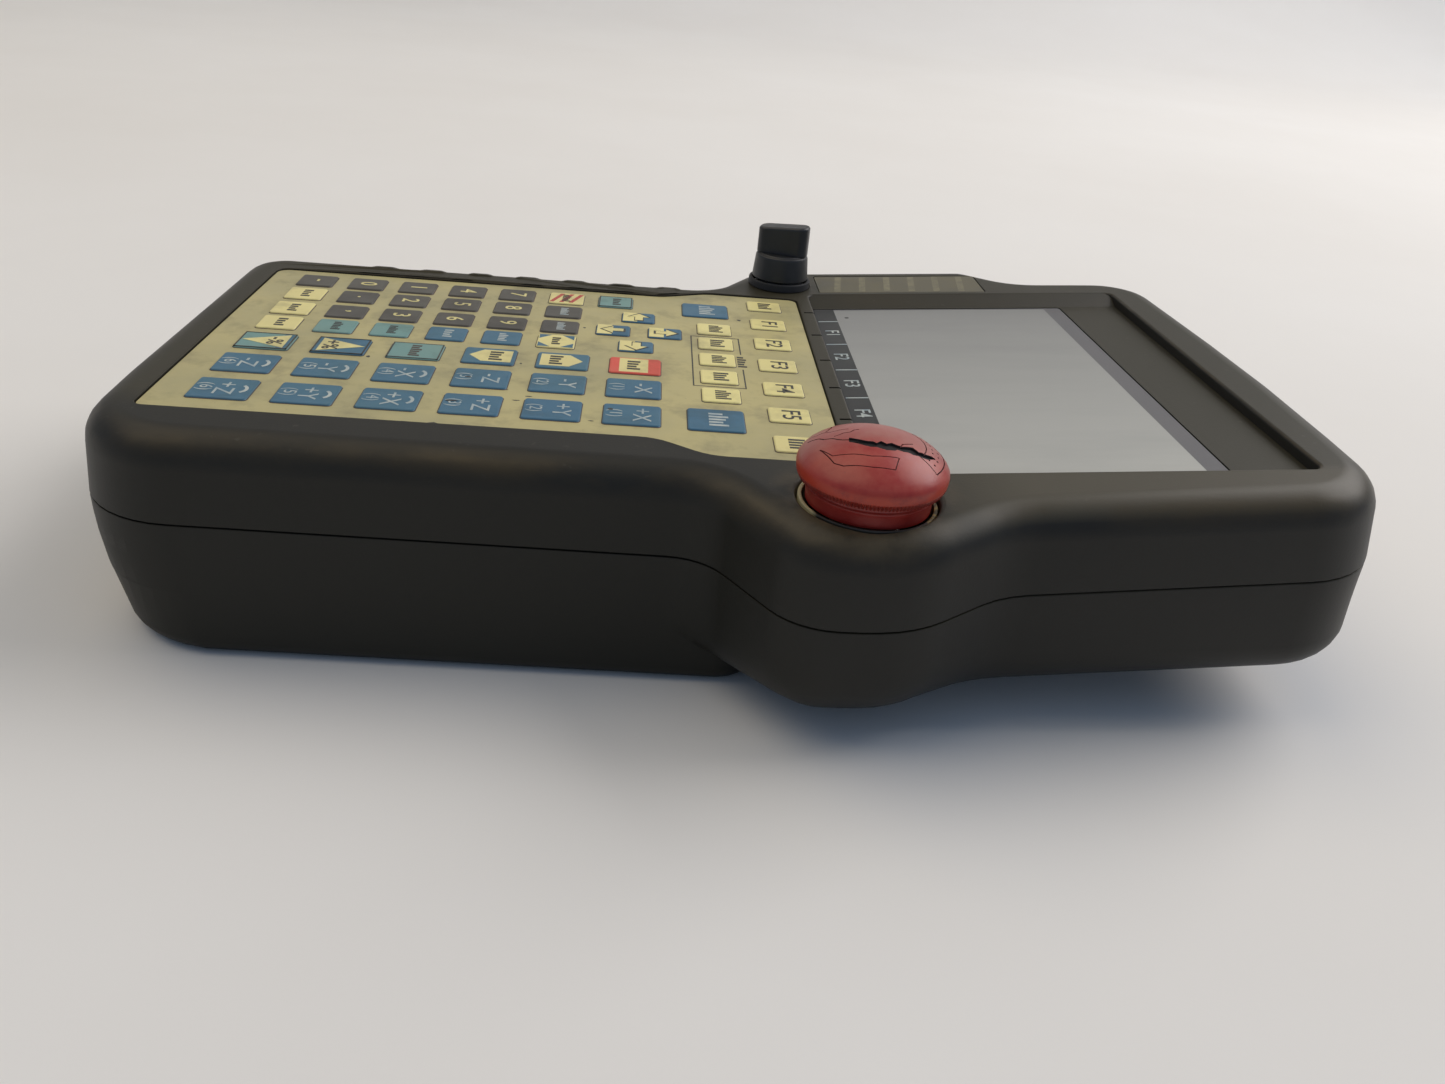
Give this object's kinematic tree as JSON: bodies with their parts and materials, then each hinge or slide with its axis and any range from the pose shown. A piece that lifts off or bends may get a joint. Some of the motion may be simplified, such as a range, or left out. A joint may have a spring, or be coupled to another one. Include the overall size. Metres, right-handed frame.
{
  "type": "pendant control station",
  "caption": "Hand-held two-shell control pendant, bent at mid-length, with embossed key sheet, display, stop button, selector knob, status strip and rear enabling levers.",
  "frame": {"origin": "centre of the bounding box in plan, at the level of the flat back of the keypad end, which the pendant lies on", "axes": "+X from the keypad end towards the display end, +Y from the stop-button side towards the selector side, +Z out of the keypad face"},
  "size_m": [0.3155, 0.211, 0.0792],
  "materials": {
    "casing": "fine-textured, rubbed",
    "key_sheet": "printed film, yellowed",
    "label": "printed film, worn",
    "window": "scratched clear sheet",
    "screen": "satin",
    "diffuser": "milky",
    "stop_red": "worn satin",
    "stop_yellow": "satin",
    "knob": "satin",
    "lever": "fine-textured",
    "black_plastic": "satin",
    "rubber": "matte",
    "board": "solder mask",
    "ribbon": "satin",
    "steel": "zinc plated",
    "brass": "plain"
  },
  "bodies": {
    "casing": {"front_case": "casing", "rear_case": "casing", "case_gasket": "rubber", "key_sheet": "key_sheet", "key_board": "board", "key_board_shield": "steel", "display_window": "window", "lcd_frame": "steel", "lcd_glass": "screen", "lcd_backlight": "diffuser", "lcd_board": "board", "status_label": "label", "status_light_pipe": "diffuser", "status_board": "board", "stop_legend_ring": "stop_yellow", "stop_spring": "steel", "stop_bushing": "black_plastic", "stop_bracket": "steel", "stop_nut": "brass", "stop_contact_block": "black_plastic", "selector_bezel": "black_plastic", "selector_nut": "steel", "selector_switch": "black_plastic", "enable_pin_near": "steel", "enable_spring_near": "steel", "enable_switch_near": "black_plastic", "enable_pin_far": "steel", "enable_spring_far": "steel", "enable_switch_far": "black_plastic", "main_board": "board", "board_spacer_1": "brass", "board_spacer_2": "brass", "board_spacer_3": "brass", "board_spacer_4": "brass", "main_processor": "black_plastic", "keypad_ribbon": "ribbon", "display_ribbon": "ribbon", "cable_gland": "black_plastic", "cable_gland_nut": "black_plastic", "case_screw_1": "steel", "case_screw_2": "steel", "case_screw_3": "steel", "case_screw_4": "steel", "case_screw_5": "steel", "case_screw_6": "steel"},
    "stop_plunger": {"stop_stem": "steel"},
    "stop_button": {"stop_head": "stop_red"},
    "selector": {"selector_knob": "knob", "selector_shaft": "steel"},
    "lever_near": {"enable_lever_near": "lever"},
    "plunger_near": {"enable_plunger_near": "black_plastic"},
    "lever_far": {"enable_lever_far": "lever"},
    "plunger_far": {"enable_plunger_far": "black_plastic"}
  },
  "joints": [
    {"name": "stop_push", "type": "slide", "parent": "casing", "child": "stop_plunger", "axis": [0, 0, -1], "range_m": [0, 0.0035], "stiffness_N_per_m": 2500, "deforming": ["stop_spring"]},
    {"name": "stop_twist", "type": "hinge", "parent": "stop_plunger", "child": "stop_button", "pos_m": [0.027, -0.0835, 0.058], "axis": [0, 0, -1], "range_deg": [0, 35], "stiffness_Nm_per_rad": 0.2},
    {"name": "selector_turn", "type": "hinge", "parent": "casing", "child": "selector", "pos_m": [0.0208, 0.084, 0.058], "axis": [0, 0, -1], "range_deg": [0, 90]},
    {"name": "enable_near_squeeze", "type": "hinge", "parent": "casing", "child": "lever_near", "pos_m": [0.026, -0.058, 0.014], "axis": [-0.9967, 0, -0.0807], "range_deg": [0, 8], "stiffness_Nm_per_rad": 1},
    {"name": "enable_far_squeeze", "type": "hinge", "parent": "casing", "child": "lever_far", "pos_m": [0.026, 0.058, 0.014], "axis": [0.9967, 0, 0.0807], "range_deg": [0, 8], "stiffness_Nm_per_rad": 1},
    {"name": "plunger_near_slide", "type": "slide", "parent": "casing", "child": "plunger_near", "axis": [0, 0, 1], "range_m": [0, 0.0019], "deforming": ["enable_spring_near"]},
    {"name": "plunger_far_slide", "type": "slide", "parent": "casing", "child": "plunger_far", "axis": [0, 0, 1], "range_m": [0, 0.0019], "deforming": ["enable_spring_far"]}
  ],
  "couplings": [
    {"joint": "plunger_near_slide", "follows": "enable_near_squeeze", "m_per_rad": 0.013},
    {"joint": "plunger_far_slide", "follows": "enable_far_squeeze", "m_per_rad": 0.013}
  ]
}
